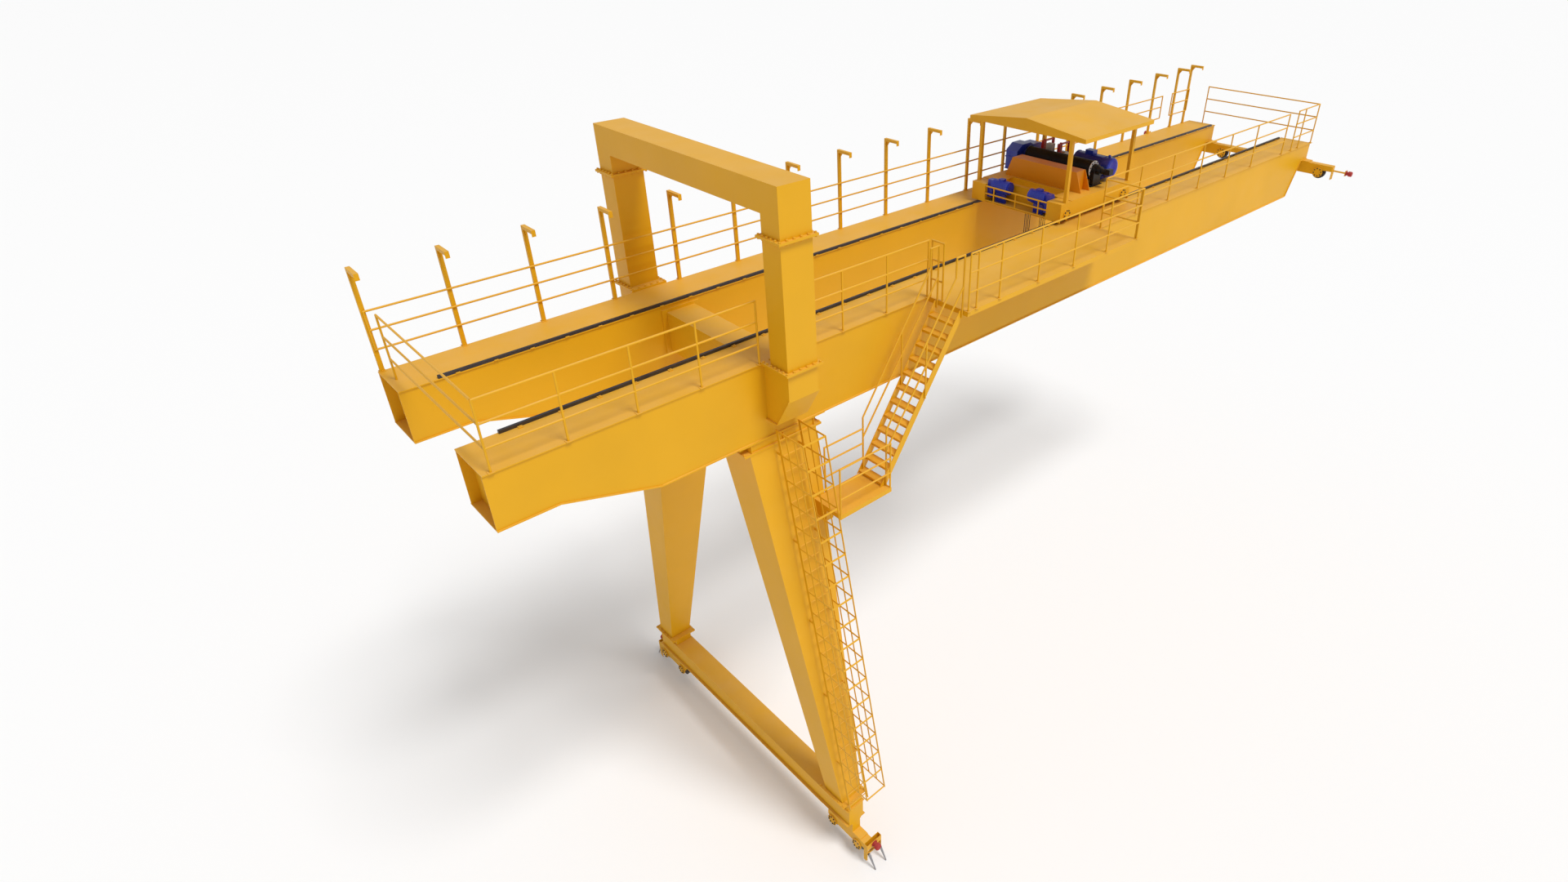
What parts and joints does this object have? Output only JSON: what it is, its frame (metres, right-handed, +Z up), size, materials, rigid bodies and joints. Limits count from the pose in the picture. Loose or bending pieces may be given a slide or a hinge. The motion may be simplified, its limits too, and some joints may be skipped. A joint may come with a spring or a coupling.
{
  "type": "semi-gantry crane",
  "caption": "Double-girder semi-gantry crane with a leg frame at one side, an end carriage for a raised runway at the other, and a roofed hoist trolley.",
  "frame": {"origin": "centre of the ground sill's underside", "axes": "+X along the girders toward the raised runway, +Z up, -Y the side with the balcony, stair and caged ladder"},
  "size_m": [25, 8.7372, 14.5527],
  "materials": {
    "paint_orange": "satin orange-yellow paint",
    "paint_deep_orange": "satin deep orange paint",
    "rail_steel": "dark rolled steel",
    "wheel_iron": "dark cast steel",
    "blue_paint": "gloss blue paint",
    "red_paint": "gloss red paint",
    "red_rubber": "red rubber",
    "black_paint": "satin black paint",
    "grey_paint": "satin grey paint",
    "bare_steel": "bare steel"
  },
  "bodies": {
    "crane_frame": {"near_girder": "paint_orange", "far_girder": "paint_orange", "trolley_rails": "rail_steel", "girder_tie_beam": "paint_orange", "saddle_beam": "paint_orange", "saddle_columns": "paint_orange", "saddle_brackets": "paint_orange", "leg_heads": "paint_orange", "near_leg": "paint_orange", "far_leg": "paint_orange", "ground_sill": "paint_orange", "bogie_frames": "paint_orange", "bogie_buffers": "red_rubber", "rail_sweepers": "bare_steel", "end_carriage": "paint_orange", "carriage_buffers": "red_rubber", "near_railings": "paint_orange", "end_railings": "paint_orange", "cable_posts": "paint_orange", "far_railing": "paint_orange", "balcony_deck": "paint_orange", "balcony_outer_railing": "paint_orange", "balcony_end_railings": "paint_orange", "stair_stringers": "paint_orange", "stair_treads": "paint_orange", "stair_handrails": "paint_orange", "landing_deck": "paint_orange", "landing_railings": "paint_orange", "ladder": "paint_orange", "ladder_cage_sides": "paint_orange", "ladder_cage_front": "paint_orange"},
    "trolley": {"trolley_frame": "paint_orange", "trolley_basket": "paint_orange", "trolley_roof": "paint_orange", "roof_posts": "paint_orange", "rope_beam": "paint_deep_orange", "drum_bearing": "black_paint", "hoist_gearbox": "blue_paint", "hoist_motor": "blue_paint", "motor_coupling": "bare_steel", "hoist_brakes": "red_paint", "control_box": "grey_paint", "travel_drives": "blue_paint", "hoist_ropes": "bare_steel", "hook_block": "paint_orange"},
    "hoist_drum": {"hoist_drum": "black_paint"},
    "near_inner_bogie_wheel": {"near_inner_bogie_wheel": "wheel_iron"},
    "near_outer_bogie_wheel": {"near_outer_bogie_wheel": "wheel_iron"},
    "near_inner_carriage_wheel": {"near_inner_carriage_wheel": "wheel_iron"},
    "near_outer_carriage_wheel": {"near_outer_carriage_wheel": "wheel_iron"},
    "near_rear_trolley_wheel": {"near_rear_trolley_wheel": "wheel_iron"},
    "near_front_trolley_wheel": {"near_front_trolley_wheel": "wheel_iron"},
    "far_inner_bogie_wheel": {"far_inner_bogie_wheel": "wheel_iron"},
    "far_outer_bogie_wheel": {"far_outer_bogie_wheel": "wheel_iron"},
    "far_inner_carriage_wheel": {"far_inner_carriage_wheel": "wheel_iron"},
    "far_outer_carriage_wheel": {"far_outer_carriage_wheel": "wheel_iron"},
    "far_rear_trolley_wheel": {"far_rear_trolley_wheel": "wheel_iron"},
    "far_front_trolley_wheel": {"far_front_trolley_wheel": "wheel_iron"}
  },
  "joints": [
    {"name": "trolley_travel", "type": "slide", "parent": "crane_frame", "child": "trolley", "axis": [1, 0, 0], "range_m": [-9.1, 8.4]},
    {"name": "drum_turn", "type": "hinge", "parent": "trolley", "child": "hoist_drum", "pos_m": [10.311, 0, 11.46], "axis": [0, 1, 0], "continuous": true},
    {"name": "near_inner_bogie_roll", "type": "hinge", "parent": "crane_frame", "child": "near_inner_bogie_wheel", "pos_m": [0, -3.035, -0.543], "axis": [1, 0, 0], "continuous": true},
    {"name": "near_outer_bogie_roll", "type": "hinge", "parent": "crane_frame", "child": "near_outer_bogie_wheel", "pos_m": [0, -3.835, -0.543], "axis": [1, 0, 0], "continuous": true},
    {"name": "near_inner_carriage_roll", "type": "hinge", "parent": "crane_frame", "child": "near_inner_carriage_wheel", "pos_m": [19.894, -0.576, 9.886], "axis": [1, 0, 0], "continuous": true},
    {"name": "near_outer_carriage_roll", "type": "hinge", "parent": "crane_frame", "child": "near_outer_carriage_wheel", "pos_m": [19.894, -2.494, 9.886], "axis": [1, 0, 0], "continuous": true},
    {"name": "near_rear_trolley_roll", "type": "hinge", "parent": "trolley", "child": "near_rear_trolley_wheel", "pos_m": [8.783, -1.11, 10.825], "axis": [0, 1, 0], "continuous": true},
    {"name": "near_front_trolley_roll", "type": "hinge", "parent": "trolley", "child": "near_front_trolley_wheel", "pos_m": [11.035, -1.11, 10.825], "axis": [0, 1, 0], "continuous": true},
    {"name": "far_inner_bogie_roll", "type": "hinge", "parent": "crane_frame", "child": "far_inner_bogie_wheel", "pos_m": [0, 3.035, -0.543], "axis": [1, 0, 0], "continuous": true},
    {"name": "far_outer_bogie_roll", "type": "hinge", "parent": "crane_frame", "child": "far_outer_bogie_wheel", "pos_m": [0, 3.835, -0.543], "axis": [1, 0, 0], "continuous": true},
    {"name": "far_inner_carriage_roll", "type": "hinge", "parent": "crane_frame", "child": "far_inner_carriage_wheel", "pos_m": [19.894, 0.576, 9.886], "axis": [1, 0, 0], "continuous": true},
    {"name": "far_outer_carriage_roll", "type": "hinge", "parent": "crane_frame", "child": "far_outer_carriage_wheel", "pos_m": [19.894, 2.494, 9.886], "axis": [1, 0, 0], "continuous": true},
    {"name": "far_rear_trolley_roll", "type": "hinge", "parent": "trolley", "child": "far_rear_trolley_wheel", "pos_m": [8.783, 1.11, 10.825], "axis": [0, 1, 0], "continuous": true},
    {"name": "far_front_trolley_roll", "type": "hinge", "parent": "trolley", "child": "far_front_trolley_wheel", "pos_m": [11.035, 1.11, 10.825], "axis": [0, 1, 0], "continuous": true}
  ],
  "couplings": [
    {"joint": "near_rear_trolley_roll", "follows": "trolley_travel", "rad_per_m": 5.7241},
    {"joint": "near_front_trolley_roll", "follows": "trolley_travel", "rad_per_m": 5.7241},
    {"joint": "far_rear_trolley_roll", "follows": "trolley_travel", "rad_per_m": 5.7241},
    {"joint": "far_front_trolley_roll", "follows": "trolley_travel", "rad_per_m": 5.7241}
  ]
}
